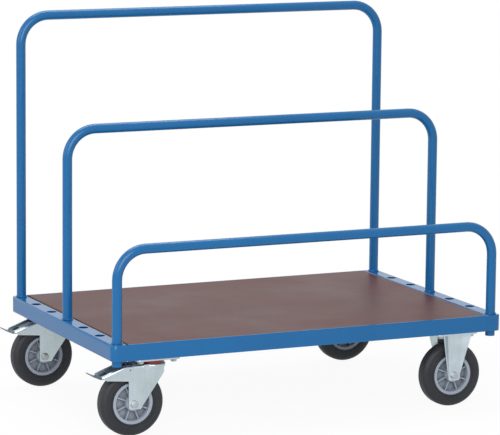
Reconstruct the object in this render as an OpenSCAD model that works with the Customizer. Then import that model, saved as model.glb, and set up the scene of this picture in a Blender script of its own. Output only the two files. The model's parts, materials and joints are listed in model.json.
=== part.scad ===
// Trolley for sheet material with three tubular bows that stand in rows of sockets.
// Two box section end beams and two angle rails frame a film faced deck.
// The left end runs on two braked swivel casters and the right end on two fixed casters.
// X runs along the deck, Y across it with the low bow in front, and Z up from the floor.

/* [Frame] */
// Length over both end beams
frame_length = 1300; // [1150:10:1600]
// Width over both side rails
frame_width = 850; // [760:10:1000]
// Height and width of the end beams, and height of the side rails
section_size = 50; // [45:1:60]
// Wall of the end beams
beam_wall = 3; // [2:0.5:4]
// Outer radius along the end beams' edges
beam_edge_r = 6; // [5:0.5:10]
// Radius of the frame's four corners in plan
frame_corner_r = 18; // [8:1:22]
// Thickness of the side rails and of the caster pads
rail_wall = 4; // [3:0.5:5]
// Width of the side rails' lower flange
rail_flange = 50; // [40:1:55]

/* [Deck] */
// Thickness of the deck board
deck_thickness = 15; // [12:1:21]
// Open joint between the deck and each end beam
deck_end_gap = 4; // [1:0.5:8]
// Play between the deck and each side rail
deck_side_gap = 0.5; // [0.3:0.1:2]
// Width of the cross members
channel_width = 60; // [50:1:70]
// Sheet thickness of the cross members
channel_wall = 3; // [2:0.5:4]
// Distance of the two inner cross members from the middle
inner_channel_x = 170; // [120:5:250]

/* [Sockets and bows] */
// Number of sockets in each end beam
socket_count = 7; // [5:2:9]
// Distance between the first and the last socket
socket_span = 800; // [600:10:810]
// Least distance from an outer socket's middle to the end of its beam
socket_edge = 25; // [20:1:40]
// Radial play of a leg in its socket
socket_play = 0.5; // [0.3:0.1:1]
// Outer diameter of the bow tube
tube_d = 30; // [26:1:33]
// Wall of the bow tube
tube_wall = 2; // [1.5:0.5:3]
// Radius of the bends, to the middle of the tube
bend_r = 90; // [60:5:120]
// Height of the low bow above the deck
low_bow_height = 293; // [200:1:400]
// Height of the middle bow above the deck
middle_bow_height = 598; // [450:1:750]
// Height of the high bow above the deck
high_bow_height = 907; // [800:1:1100]
// Length of the low bow's legs that shows below the end beams
stub_length = 18; // [12:1:19]
// How far the other bows' legs stop short of the end beams' underside
leg_set = 0.5; // [0.5:0.5:2]
// Diameter of the stop collar on each leg
collar_d = 35; // [34:0.5:40]
// Height of the stop collar
collar_height = 4; // [3:0.5:8]

/* [Casters] */
// Diameter of the wheels
wheel_d = 200; // [180:5:220]
// Width of the tyres
tyre_width = 50; // [44:1:54]
// Height of the fork crown over the tyre
crown_clearance = 12; // [10:0.5:16]
// Sheet thickness of the forks and brackets
fork_wall = 4; // [3:0.5:5]
// Room for the balls between the crown and the top plate
race_height = 14; // [12:0.5:16]
// Thickness of the top plates
plate_wall = 5; // [4:0.5:8]
// Length of the top plates
plate_length = 140; // [130:1:150]
// Width of the top plates
plate_width = 110; // [104:1:112]
// Corner radius of the top plates
plate_corner_r = 12; // [6:1:16]
// Bolt spacing along the cart
bolt_pitch_x = 105; // [102:1:112]
// Bolt spacing across the cart
bolt_pitch_y = 80; // [78:1:84]
// Diameter of the caster bolts
bolt_d = 10; // [8:1:11]
// Distance of the plate centres from the frame's ends
caster_inset_x = 150; // [140:1:180]
// Distance of the plate centres from the frame's sides
caster_inset_y = 56; // [56:1:70]
// Distance of the axle behind the swivel axis
swivel_trail = 70; // [64:1:76]

/* [Wheels] */
// Diameter of the hub where the tyre sits on it
rim_d = 126; // [116:1:136]
// Diameter of the axle bolts
axle_d = 12; // [10:1:13]
// Diameter of the axle sleeves
sleeve_d = 20; // [18:0.5:22]
// Diameter of the bearing rollers
roller_d = 5; // [4:0.5:6]
// Rollers in a bearing
roller_count = 10; // [6:1:11]
// Ribs on each side of a hub
rib_count = 8; // [5:1:12]

/* [Hidden] */
$fn = 64;
cut = 1;
fit = 0.1;
running = 0.3;
front = -1;
rear = 1;

// Finishes
paint = [0.11, 0.42, 0.66];
film = [0.45, 0.36, 0.36];
zinc = [0.80, 0.83, 0.85];
steel = [0.62, 0.64, 0.66];
rubber = [0.13, 0.13, 0.14];
grey_plastic = [0.58, 0.62, 0.67];
red_plastic = [0.62, 0.13, 0.17];

// Heights, from the floor up
axle_z = wheel_d / 2;
crown_bottom = wheel_d + crown_clearance;
crown_top = crown_bottom + fork_wall;
plate_bottom = crown_top + race_height;
frame_bottom = plate_bottom + plate_wall;
frame_top = frame_bottom + section_size;
flange_top = frame_bottom + rail_wall;
deck_bottom = frame_top - deck_thickness;

// Places in plan
beam_inner_x = frame_length / 2 - section_size;
beam_length = max(frame_width, socket_span + 2 * socket_edge);
caster_x = frame_length / 2 - caster_inset_x;
caster_y = frame_width / 2 - caster_inset_y;
rail_inner_y = frame_width / 2 - rail_wall;
deck_length = 2 * (beam_inner_x - deck_end_gap);
deck_width = 2 * (rail_inner_y - deck_side_gap);
channel_places = [-caster_x, -inner_channel_x, inner_channel_x, caster_x];
channel_height = deck_bottom - flange_top;
channel_fold_r = 2 * channel_wall;
small_r = 0.5;

// Bows and sockets
leg_x = frame_length / 2 - section_size / 2;
tube_r = tube_d / 2;
socket_r = tube_r + socket_play;
socket_pitch = socket_span / (socket_count - 1);
bow_y = socket_span / 2;
low_leg_bottom = frame_bottom - stub_length;
leg_bottom = frame_bottom + leg_set;

// Fasteners: hexagon sizes follow the thread
hex_flats_share = 1.7;
head_height_share = 0.64;
nut_height_share = 0.8;
thread_end_share = 0.15;
bolt_hole_r = bolt_d / 2 + small_r;
nut_height = bolt_d * nut_height_share;
axle_nut_height = axle_d * nut_height_share;
screw_d = 5;
screw_head_d = 10;
screw_head_height = 3;
screw_grip = 10;
screw_y_shares = [-0.36, 0, 0.36];

// Swivel head
head_r = 40;
head_skirt = 10;
head_edge_r = 4;
seal_r = 36;
seal_wall = 2.5;
dish_drop = 4;
dish_r = seal_r - seal_wall - small_r;
dish_recess_r = 24;
ball_d = race_height - dish_drop - 2 * running;
ball_ring_r = seal_r - seal_wall - running - ball_d / 2;
ball_gap = 2;
ball_count = floor(360 / (2 * asin((ball_d + ball_gap) / 2 / ball_ring_r)));
king_pin_d = 12;
king_head_r = 13;
king_head_height = 4;
king_nut_r = 11;
king_nut_height = 8;

// Swivel fork, measured from the swivel axis
axle_x = -swivel_trail;
cheek_play = 6;
cheek_in = tyre_width / 2 + cheek_play;
cheek_out = cheek_in + fork_wall;
fold_r = 2 * fork_wall;
foot_rear = 18;
foot_front = 25;
foot_drop = 16;
foot_r = 8;
foot_top = axle_z + foot_drop;
slant_drop = 8;
cheek_bend = 29;
cheek_bend_x = axle_x + cheek_bend;
cheek_taper_angle = 5;
wing_drop_share = 0.352;
wing_slope = asin(wing_drop_share);
wing_fillet = 2;
wing_set = 0.5;
wing_start = axle_x - foot_rear - wing_fillet - wing_set;
wing_reach = 102;
wing_end = axle_x - wing_reach;
wing_depth = 46;
wing_low = crown_top - wing_depth;
wing_bend_r = wing_depth + fork_wall;
wing_rise = 6;
wing_tail_x = 14;
wing_tail_z = 10;
wing_lip = 8.5;
slope_x = wing_start - wing_bend_r * sin(wing_slope);
slope_z = crown_top - wing_bend_r * (1 - cos(wing_slope));
slope_run = (slope_x - wing_end) / cos(wing_slope);
crown_rear_gap = 24;
crown_rear = axle_x + crown_rear_gap;

// Brake pedal, along the slope of the fork's wings
pedal_wall = 3;
pedal_play = 2.5;
pedal_out = cheek_in - pedal_play;
pedal_under = fork_wall + 2 * running;
pedal_start = 3;
pedal_overhang = 5;
pedal_eye_r = 6;
pedal_arm_width = 9;
pedal_flange_depth = 14;
pedal_tail_depth = 5;
pivot_back = 13;
pivot_drop = 12.5;
pivot_x = axle_x - pivot_back;
pivot_z = crown_top - pivot_drop;
pin_d = 6;
pin_bore_d = 3.5;
lip_length = 26;
lip_rise = 24;
slot_length = 16;
slot_half = 15;
slot_end = 8;
pad_length = 16;
pad_half = 16;
pad_thickness = 7;
pad_start = 3;

// Points on the pedal's middle line, in the plane of X and Z
function down_slope(run, depth) =
    [slope_x - run * cos(wing_slope) + depth * sin(wing_slope),
     slope_z - run * sin(wing_slope) - depth * cos(wing_slope)];
pedal_mid = pedal_under + pedal_wall / 2;
pedal_root = down_slope(pedal_start, pedal_mid);
pedal_bend = down_slope(slope_run + pedal_overhang, pedal_mid);
pedal_tip = pedal_bend + lip_length * [-cos(lip_rise), sin(lip_rise)];
pedal_reach = pedal_wall / 2 - pedal_tip.x;

// Fixed bracket, measured from the axle
panel_half = 20;
panel_spread = 7;
panel_top_half = panel_half + panel_spread;
panel_foot = axle_z - foot_drop;
panel_top = plate_bottom + fork_wall;
panel_draw_share = panel_spread / (panel_top - panel_foot - foot_r);
foot_steps = 6;
flare_x = 22;
flare_y = 20;
flare_angle = atan2(flare_y, flare_x);
flare_width = norm([flare_x, flare_y]);
flare_lean = atan(panel_draw_share * sin(flare_angle));
flare_drop = 10;
flare_set = 0.5;
flare_height = panel_top - axle_z + flare_drop;

// Wheel
rim_r = rim_d / 2;
rim_wall = 9;
rim_set = 2;
rim_half = tyre_width / 2 - rim_set;
rim_draft = 3;
web_half = 4;
boss_r = 22;
boss_play = 2.5;
boss_half = cheek_in - boss_play;
rib_wall = 4;
rib_half = 17;
shoulder_r = 16;
side_recess = 1.5;
side_recess_width = 9;
bead_r = 1.2;
groove_half = 5;
groove_width = 2;
groove_depth = 1.2;
roller_ring_r = sleeve_d / 2 + fit + roller_d / 2;
bearing_bore_r = roller_ring_r + roller_d / 2 + fit;
roller_length = 34;
cage_ring = 2;
cage_bar_r = 0.8;
sleeve_half = cheek_in - running;

// Shift along X that centres the whole cart, pedals included, on the origin
cart_shift = (caster_x + pedal_reach - frame_length / 2) / 2;

// Outlines and sweeps

// Rectangle from the origin with round corners
module rounded_rect(size, r) {
    translate([r, 0]) square([size.x - 2 * r, size.y]);
    translate([0, r]) square([size.x, size.y - 2 * r]);
    for (x = [r, size.x - r], y = [r, size.y - r]) translate([x, y]) circle(r);
}

// Upright outline with its top at zero and round upper corners
module rounded_top(half, height, r) {
    translate([-half, -height]) square([2 * half, height - r]);
    translate([r - half, -height]) square([2 * (half - r), height]);
    for (side = [-1, 1]) translate([side * (half - r), -r]) circle(r);
}

// Folded sheet channel, open below, with its top at zero
module folded_channel(half, height, wall, r) {
    difference() {
        rounded_top(half, height, r);
        translate([0, -wall]) rounded_top(half - wall, height, r - wall);
    }
}

// Straight bar between two points with round ends
module bar(from, to, wall) {
    run = to - from;
    translate(from) rotate(atan2(run.y, run.x)) translate([0, -wall / 2]) square([norm(run), wall]);
    for (end = [from, to]) translate(end) circle(wall / 2);
}

// Sweep of an outline drawn across X, from the origin along X
module along_x(length) {
    rotate([90, 0, 90]) linear_extrude(length) children();
}

// Sweep of an outline drawn in X and Z, centred on Y
module along_y(length) {
    rotate([90, 0, 0]) linear_extrude(length, center = true) children();
}

module hexagon(flats, height) {
    cylinder(d = flats / cos(30), h = height, $fn = 6);
}

module ring(outer_r, inner_r, height) {
    linear_extrude(height) difference() {
        circle(outer_r);
        circle(inner_r);
    }
}

// Places

module on_cart() {
    translate([cart_shift, 0, 0]) children();
}

module at_swivel(side) {
    on_cart() translate([-caster_x, side * caster_y, 0]) children();
}

module at_fixed(side) {
    on_cart() translate([caster_x, side * caster_y, 0]) children();
}

module at_swivel_wheel(side) {
    at_swivel(side) translate([axle_x, 0, axle_z]) children();
}

module at_fixed_wheel(side) {
    at_fixed(side) translate([0, 0, axle_z]) children();
}

module at_plate_bolts() {
    for (x = [-bolt_pitch_x / 2, bolt_pitch_x / 2], y = [-bolt_pitch_y / 2, bolt_pitch_y / 2])
        translate([x, y, 0]) children();
}

module at_caster_bolts() {
    for (x = [-caster_x, caster_x], y = [-caster_y, caster_y])
        translate([x, y, 0]) at_plate_bolts() children();
}

module at_deck_screws() {
    for (x = channel_places, share = screw_y_shares)
        translate([x, share * frame_width, deck_bottom - channel_wall]) children();
}

// Frame

// Plan of the left end beam, drawn in all round by an inset
module beam_plan(inset) {
    r = frame_corner_r - inset;
    width = section_size - 2 * inset;
    length = beam_length - 2 * inset;
    translate([inset - frame_length / 2, inset - beam_length / 2]) {
        translate([r, 0]) square([width - r, length]);
        translate([0, r]) square([width, length - 2 * r]);
        for (y = [r, length - r]) translate([r, y]) circle(r);
    }
}

module beam_solid(inset) {
    size = section_size - 2 * inset;
    intersection() {
        translate([inset - frame_length / 2, 0, frame_bottom + inset])
            along_y(beam_length) rounded_rect([size, size], max(beam_edge_r - inset, small_r));
        translate([0, 0, frame_bottom]) linear_extrude(section_size) beam_plan(inset);
    }
}

module end_beam() {
    color(paint) difference() {
        beam_solid(0);
        beam_solid(beam_wall);
        for (i = [0 : socket_count - 1])
            translate([-leg_x, i * socket_pitch - socket_span / 2, frame_bottom - cut])
                cylinder(r = socket_r, h = section_size + 2 * cut);
    }
}

module side_rail() {
    color(paint) difference() {
        translate([-beam_inner_x, -frame_width / 2, frame_bottom]) along_x(2 * beam_inner_x) {
            square([rail_wall, section_size]);
            square([rail_flange, rail_wall]);
        }
        bolt_holes();
    }
}

module caster_pad(x_side, y_side) {
    width = frame_width / 2 - rail_flange - caster_y + plate_width / 2;
    color(paint) difference() {
        translate([x_side * caster_x, y_side * (frame_width / 2 - rail_flange - width / 2), frame_bottom])
            linear_extrude(rail_wall) square([plate_length, width], center = true);
        bolt_holes();
    }
}

module bolt_holes() {
    at_caster_bolts() translate([0, 0, frame_bottom - cut])
        cylinder(r = bolt_hole_r, h = rail_wall + 2 * cut);
}

module cross_member(i) {
    color(paint) difference() {
        translate([channel_places[i], 0, deck_bottom]) along_y(2 * (rail_inner_y - deck_side_gap))
            folded_channel(channel_width / 2, channel_height, channel_wall, channel_fold_r);
        at_deck_screws() translate([0, 0, -cut])
            cylinder(d = screw_d + 2 * running, h = channel_wall + 2 * cut);
    }
}

module deck_board() {
    color(film) difference() {
        translate([-deck_length / 2, -deck_width / 2, deck_bottom])
            cube([deck_length, deck_width, deck_thickness]);
        at_deck_screws() translate([0, 0, -cut])
            cylinder(d = screw_d + 2 * fit, h = channel_wall + screw_grip + fit + cut);
    }
}

module deck_screws() {
    color(steel) at_deck_screws() {
        cylinder(d = screw_d, h = channel_wall + screw_grip);
        translate([0, 0, -screw_head_height]) cylinder(d = screw_head_d, h = screw_head_height);
    }
}

module caster_bolts() {
    end = plate_bottom - nut_height - bolt_d * thread_end_share;
    color(steel) at_caster_bolts() {
        translate([0, 0, end]) cylinder(d = bolt_d, h = flange_top - end);
        translate([0, 0, flange_top]) hexagon(bolt_d * hex_flats_share, bolt_d * head_height_share);
    }
}

module caster_nuts() {
    color(steel) at_caster_bolts() translate([0, 0, plate_bottom - nut_height])
        difference() {
            hexagon(bolt_d * hex_flats_share, nut_height);
            translate([0, 0, -cut]) cylinder(r = bolt_d / 2 + fit, h = nut_height + 2 * cut);
        }
}

// Bows

module tube(length) {
    ring(tube_r, tube_r - tube_wall, length);
}

module tube_bend() {
    rotate([90, 0, 0]) rotate_extrude(angle = 90) translate([bend_r, 0]) difference() {
        circle(tube_r);
        circle(tube_r - tube_wall);
    }
}

module bow(height, foot) {
    top_z = frame_top + height - tube_r;
    bend_z = top_z - bend_r;
    bend_x = leg_x - bend_r;
    color(paint) {
        translate([-bend_x, 0, top_z]) rotate([0, 90, 0]) tube(2 * bend_x);
        for (side = [0, 1]) mirror([side, 0, 0]) {
            translate([bend_x, 0, bend_z]) tube_bend();
            translate([leg_x, 0, foot]) tube(bend_z - foot);
            translate([leg_x, 0, frame_top]) ring(collar_d / 2, tube_r - tube_wall, collar_height);
        }
    }
}

// Casters

module plate_blank() {
    translate([0, 0, plate_bottom]) linear_extrude(plate_wall) difference() {
        translate([-plate_length / 2, -plate_width / 2])
            rounded_rect([plate_length, plate_width], plate_corner_r);
        at_plate_bolts() circle(bolt_hole_r);
    }
}

// Top plate with the upper ball race pressed down in its middle
module swivel_plate() {
    color(zinc) difference() {
        union() {
            plate_blank();
            translate([0, 0, plate_bottom - dish_drop]) cylinder(r = dish_r, h = dish_drop);
        }
        translate([0, 0, plate_bottom]) cylinder(r = dish_recess_r, h = plate_wall + cut);
        translate([0, 0, plate_bottom - dish_drop - cut])
            cylinder(d = king_pin_d + 2 * fit, h = dish_drop + 2 * cut);
    }
}

module king_pin() {
    foot = crown_bottom - running - king_nut_height;
    color(steel) {
        translate([0, 0, foot]) hexagon(2 * king_nut_r * cos(30), king_nut_height);
        translate([0, 0, foot]) cylinder(d = king_pin_d, h = plate_bottom - foot);
        translate([0, 0, plate_bottom]) cylinder(r = king_head_r, h = king_head_height);
    }
}

module swivel_balls() {
    color(steel) for (i = [0 : ball_count - 1])
        rotate(i * 360 / ball_count) translate([ball_ring_r, 0, crown_top + running + ball_d / 2])
            sphere(d = ball_d);
}

module swivel_seal() {
    color(red_plastic) translate([0, 0, crown_top + running])
        ring(seal_r, seal_r - seal_wall, race_height - 2 * running);
}

// Side view of the fork: foot, slanted front edge, and the wing that slopes down behind
module fork_profile() {
    rear_x = axle_x - foot_rear;
    translate([rear_x, axle_z - foot_drop])
        rounded_rect([foot_rear + foot_front, 2 * foot_drop], foot_r);
    polygon([
        [rear_x, axle_z - slant_drop], [axle_x + foot_front, axle_z - slant_drop],
        [head_r, crown_top - head_skirt], [head_r + cut, crown_top - head_skirt],
        [head_r + cut, crown_top + cut], [wing_end, crown_top + cut],
        [wing_end, wing_low + wing_rise + wing_tail_z], [wing_end + wing_tail_x, wing_low + wing_rise],
        [rear_x, wing_low]
    ]);
    translate([rear_x - wing_fillet, wing_low - wing_fillet]) difference() {
        square([wing_fillet, wing_fillet + cut]);
        circle(wing_fillet);
    }
}

// Plan of the fork ahead of the axle, drawn in towards the head, down to an inset
module front_plan(inset) {
    half = cheek_out - inset;
    draw_in = (head_r - cheek_bend_x) * tan(cheek_taper_angle);
    polygon([
        [cheek_bend_x, -half], [head_r, draw_in - half], [head_r, half - draw_in], [cheek_bend_x, half]
    ]);
}

module fork_head() {
    translate([0, 0, crown_top]) rotate_extrude() difference() {
        intersection() {
            rounded_top(head_r, head_skirt, head_edge_r);
            translate([0, -head_skirt]) square([head_r, head_skirt]);
        }
        translate([0, -head_skirt - cut]) square([head_r - fork_wall, head_skirt - fork_wall + cut]);
    }
}

// Level part over the axle, bend and sloping wing, all of one folded section
module fork_channel() {
    level_depth = crown_top - axle_z + foot_drop + cut;
    translate([wing_start, 0, crown_top]) along_x(cheek_bend_x - wing_start)
        folded_channel(cheek_out, level_depth, fork_wall, fold_r);
    translate([wing_start, 0, crown_top - wing_bend_r]) {
        difference() {
            rotate([90, 0, 0]) rotate(90) rotate_extrude(angle = 2 * wing_slope)
                translate([wing_bend_r, 0]) rotate(-90)
                    folded_channel(cheek_out, wing_depth, fork_wall, fold_r);
            rotate([0, -wing_slope, 0]) translate([-wing_reach, -wing_reach, 0])
                cube([wing_reach, 2 * wing_reach, wing_reach]);
        }
        rotate([0, -wing_slope, 0]) translate([-slope_run - fold_r, 0, wing_bend_r])
            along_x(slope_run + fold_r) folded_channel(cheek_out, wing_depth, fork_wall, fold_r);
    }
}

module fork_front() {
    intersection() {
        difference() {
            linear_extrude(crown_top) front_plan(0);
            translate([0, 0, -cut]) linear_extrude(crown_bottom + cut) front_plan(fork_wall);
        }
        linear_extrude(crown_top + cut) {
            circle(head_r - fork_wall / 2);
            translate([cheek_bend_x - cut, -head_r]) square([cut - cheek_bend_x, 2 * head_r]);
        }
    }
}

module swivel_fork() {
    color(zinc) difference() {
        intersection() {
            union() {
                fork_channel();
                fork_front();
                fork_head();
            }
            along_y(2 * (head_r + cut)) fork_profile();
        }
        translate([wing_end - cut, wing_lip - cheek_in, wing_low])
            cube([crown_rear - wing_end + cut, 2 * (cheek_in - wing_lip), wing_depth + cut]);
        translate([axle_x, 0, axle_z]) along_y(2 * head_r) circle(d = axle_d + 2 * fit);
        translate([pivot_x, 0, pivot_z]) along_y(2 * head_r) circle(d = pin_d + 2 * fit);
        translate([0, 0, crown_bottom - cut]) cylinder(d = king_pin_d + 2 * running, h = fork_wall + 2 * cut);
    }
}

// Side view of the pedal's two flanges, with an eye for the pin
module pedal_flange() {
    top = pedal_under + fit;
    start = pedal_start + pedal_wall;
    arm_end = down_slope(start + pedal_flange_depth, top + pedal_flange_depth / 2);
    translate([pivot_x, pivot_z]) circle(pedal_eye_r);
    bar([pivot_x, pivot_z], arm_end, pedal_arm_width);
    polygon([
        down_slope(start, top), down_slope(slope_run, top),
        down_slope(slope_run, top + pedal_tail_depth),
        down_slope(slope_run / 2, top + pedal_flange_depth), down_slope(start, top + pedal_flange_depth)
    ]);
}

module brake_pedal() {
    slot_from = slope_run - slot_end - slot_length;
    color(zinc) difference() {
        union() {
            along_y(2 * pedal_out) {
                bar(pedal_root, pedal_bend, pedal_wall);
                bar(pedal_bend, pedal_tip, pedal_wall);
            }
            for (side = [-1, 1]) translate([0, side * (pedal_out - pedal_wall / 2), 0])
                along_y(pedal_wall) pedal_flange();
        }
        along_y(2 * slot_half) bar(down_slope(slot_from, pedal_mid), down_slope(slot_from + slot_length, pedal_mid),
            2 * pedal_wall);
        translate([pivot_x, 0, pivot_z]) along_y(2 * cheek_in) circle(d = pin_d + 2 * running);
    }
}

module brake_pad() {
    depth = pedal_under + pedal_wall;
    color(rubber) along_y(2 * pad_half) polygon([
        down_slope(pad_start, depth), down_slope(pad_start + pad_length, depth),
        down_slope(pad_start + pad_length, depth + pad_thickness), down_slope(pad_start, depth + pad_thickness)
    ]);
}

module pedal_pin() {
    color(steel) translate([pivot_x, 0, pivot_z]) along_y(2 * cheek_out) difference() {
        circle(d = pin_d);
        circle(d = pin_bore_d);
    }
}

// Plate and legs in one pressing, with the legs' sides flared out to the plate's edges
module fixed_bracket() {
    color(zinc) difference() {
        union() {
            plate_blank();
            for (side = [0, 1]) mirror([0, side, 0]) {
                translate([0, (cheek_in + cheek_out) / 2, 0]) along_y(fork_wall) bracket_panel();
                for (end = [0, 1]) mirror([end, 0, 0]) flared_side();
            }
        }
        translate([0, 0, axle_z]) along_y(2 * head_r) circle(d = axle_d + 2 * fit);
    }
}

// Side view of a leg's flat panel, with a round foot
module bracket_panel() {
    corner = [for (i = [0 : foot_steps]) let (turn = 90 * i / foot_steps)
        [panel_half - foot_r * (1 - sin(turn)), panel_foot + foot_r * (1 - cos(turn))]];
    polygon(concat(
        corner, [[panel_top_half, panel_top], [-panel_top_half, panel_top]],
        [for (i = [foot_steps : -1 : 0]) [-corner[i].x, corner[i].y]]
    ));
}

// Folded side of a leg, along the panel's slanted edge
module flared_side() {
    draw = panel_draw_share * cos(flare_angle) * flare_height;
    translate([panel_top_half, cheek_in + flare_set, panel_top]) rotate(flare_angle) rotate([flare_lean, 0, 0])
        translate([0, fork_wall / 2, 0]) along_y(fork_wall) polygon([
            [-flare_set, 0], [-flare_set - draw, -flare_height], [flare_width, -fork_wall], [flare_width, 0]
        ]);
}

// Wheels, about an axle along Y

module axle() {
    grip = 2 * cheek_out;
    color(steel) rotate([90, 0, 0]) {
        translate([0, 0, -cheek_out - axle_nut_height - axle_d * thread_end_share])
            cylinder(d = axle_d, h = grip + axle_nut_height + axle_d * thread_end_share);
        translate([0, 0, cheek_out]) hexagon(axle_d * hex_flats_share, axle_d * head_height_share);
        translate([0, 0, -cheek_out - axle_nut_height]) difference() {
            hexagon(axle_d * hex_flats_share, axle_nut_height);
            translate([0, 0, -cut]) cylinder(r = axle_d / 2 + fit, h = axle_nut_height + 2 * cut);
        }
    }
}

module axle_sleeve() {
    color(steel) along_y(2 * sleeve_half) difference() {
        circle(sleeve_d / 2);
        circle(axle_d / 2 + fit);
    }
}

module roller_bearing() {
    color(steel) rotate([90, 0, 0]) {
        for (i = [0 : roller_count - 1]) rotate(i * 360 / roller_count) {
            translate([roller_ring_r, 0, -roller_length / 2]) cylinder(d = roller_d, h = roller_length);
        }
        bearing_cage();
    }
}

module bearing_cage() {
    half = roller_length / 2 + fit;
    for (end = [-half - cage_ring, half]) translate([0, 0, end])
        ring(bearing_bore_r - fit, sleeve_d / 2 + fit, cage_ring);
    for (i = [0 : roller_count - 1]) rotate((i + 1 / 2) * 360 / roller_count)
        translate([roller_ring_r, 0, -half - cage_ring / 2]) cylinder(r = cage_bar_r, h = 2 * half + cage_ring);
}

module hub() {
    color(grey_plastic) rotate([90, 0, 0]) {
        rotate_extrude() {
            translate([bearing_bore_r, -boss_half]) square([boss_r - bearing_bore_r, 2 * boss_half]);
            translate([bearing_bore_r, -web_half]) square([rim_r - bearing_bore_r, 2 * web_half]);
            for (side = [0, 1]) mirror([0, side]) polygon([
                [rim_r, 0], [rim_r, rim_half], [rim_r - rim_wall, rim_half], [rim_r - rim_wall - rim_draft, 0]
            ]);
        }
        for (i = [0 : rib_count - 1]) rotate((i + 1 / 2) * 360 / rib_count)
            translate([boss_r - rib_wall / 2, -rib_wall / 2, -rib_half])
                cube([rim_r - rim_wall / 2 - boss_r, rib_wall, 2 * rib_half]);
    }
}

module tyre() {
    half = tyre_width / 2;
    recess_half = half - side_recess;
    color(rubber) rotate([90, 0, 0]) rotate_extrude() difference() {
        union() {
            translate([rim_r, -recess_half]) square([axle_z - shoulder_r - rim_r, 2 * recess_half]);
            translate([rim_r + side_recess_width, -half])
                square([axle_z - shoulder_r - rim_r - side_recess_width, 2 * half]);
            translate([rim_r, shoulder_r - half]) square([axle_z - rim_r, 2 * (half - shoulder_r)]);
            for (side = [-1, 1]) {
                translate([axle_z - shoulder_r, side * (half - shoulder_r)]) circle(shoulder_r);
                translate([rim_r + side_recess_width / 2, side * recess_half]) circle(bead_r);
            }
        }
        for (side = [-1, 1])
            translate([axle_z - groove_depth, side * groove_half - groove_width / 2])
                square([groove_depth + cut, groove_width]);
    }
}

on_cart() side_rail();  // front_side_rail
on_cart() mirror([0, 1, 0]) side_rail();  // rear_side_rail
on_cart() end_beam();  // left_end_beam
on_cart() mirror([1, 0, 0]) end_beam();  // right_end_beam
on_cart() deck_board();
on_cart() cross_member(0);  // cross_member_1
on_cart() cross_member(1);  // cross_member_2
on_cart() cross_member(2);  // cross_member_3
on_cart() cross_member(3);  // cross_member_4
on_cart() caster_pad(-1, front);  // front_left_pad
on_cart() caster_pad(-1, rear);  // rear_left_pad
on_cart() caster_pad(1, front);  // front_right_pad
on_cart() caster_pad(1, rear);  // rear_right_pad
on_cart() deck_screws();
on_cart() caster_bolts();
on_cart() caster_nuts();
on_cart() translate([0, -bow_y, 0]) bow(low_bow_height, low_leg_bottom);  // low_bow
on_cart() bow(middle_bow_height, leg_bottom);  // middle_bow
on_cart() translate([0, bow_y, 0]) bow(high_bow_height, leg_bottom);  // high_bow
at_swivel(front) swivel_plate();  // front_swivel_plate
at_swivel(front) king_pin();  // front_king_pin
at_swivel(front) swivel_balls();  // front_swivel_balls
at_swivel(front) swivel_seal();  // front_swivel_seal
at_swivel(front) swivel_fork();  // front_swivel_fork
at_swivel(front) brake_pedal();  // front_brake_pedal
at_swivel(front) brake_pad();  // front_brake_pad
at_swivel(front) pedal_pin();  // front_pedal_pin
at_swivel(rear) swivel_plate();  // rear_swivel_plate
at_swivel(rear) king_pin();  // rear_king_pin
at_swivel(rear) swivel_balls();  // rear_swivel_balls
at_swivel(rear) swivel_seal();  // rear_swivel_seal
at_swivel(rear) swivel_fork();  // rear_swivel_fork
at_swivel(rear) brake_pedal();  // rear_brake_pedal
at_swivel(rear) brake_pad();  // rear_brake_pad
at_swivel(rear) pedal_pin();  // rear_pedal_pin
at_fixed(front) fixed_bracket();  // front_fixed_bracket
at_fixed(rear) fixed_bracket();  // rear_fixed_bracket
at_swivel_wheel(front) axle();  // front_left_axle
at_swivel_wheel(front) axle_sleeve();  // front_left_sleeve
at_swivel_wheel(front) roller_bearing();  // front_left_bearing
at_swivel_wheel(front) hub();  // front_left_hub
at_swivel_wheel(front) tyre();  // front_left_tyre
at_swivel_wheel(rear) axle();  // rear_left_axle
at_swivel_wheel(rear) axle_sleeve();  // rear_left_sleeve
at_swivel_wheel(rear) roller_bearing();  // rear_left_bearing
at_swivel_wheel(rear) hub();  // rear_left_hub
at_swivel_wheel(rear) tyre();  // rear_left_tyre
at_fixed_wheel(front) axle();  // front_right_axle
at_fixed_wheel(front) axle_sleeve();  // front_right_sleeve
at_fixed_wheel(front) roller_bearing();  // front_right_bearing
at_fixed_wheel(front) hub();  // front_right_hub
at_fixed_wheel(front) tyre();  // front_right_tyre
at_fixed_wheel(rear) axle();  // rear_right_axle
at_fixed_wheel(rear) axle_sleeve();  // rear_right_sleeve
at_fixed_wheel(rear) roller_bearing();  // rear_right_bearing
at_fixed_wheel(rear) hub();  // rear_right_hub
at_fixed_wheel(rear) tyre();  // rear_right_tyre
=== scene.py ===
"""Looks of a panel trolley: painted frame and bows, film faced deck, zinc casters, rubber tyres."""
import json
import math

import bmesh
import bpy
from mathutils import Matrix, Vector

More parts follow.
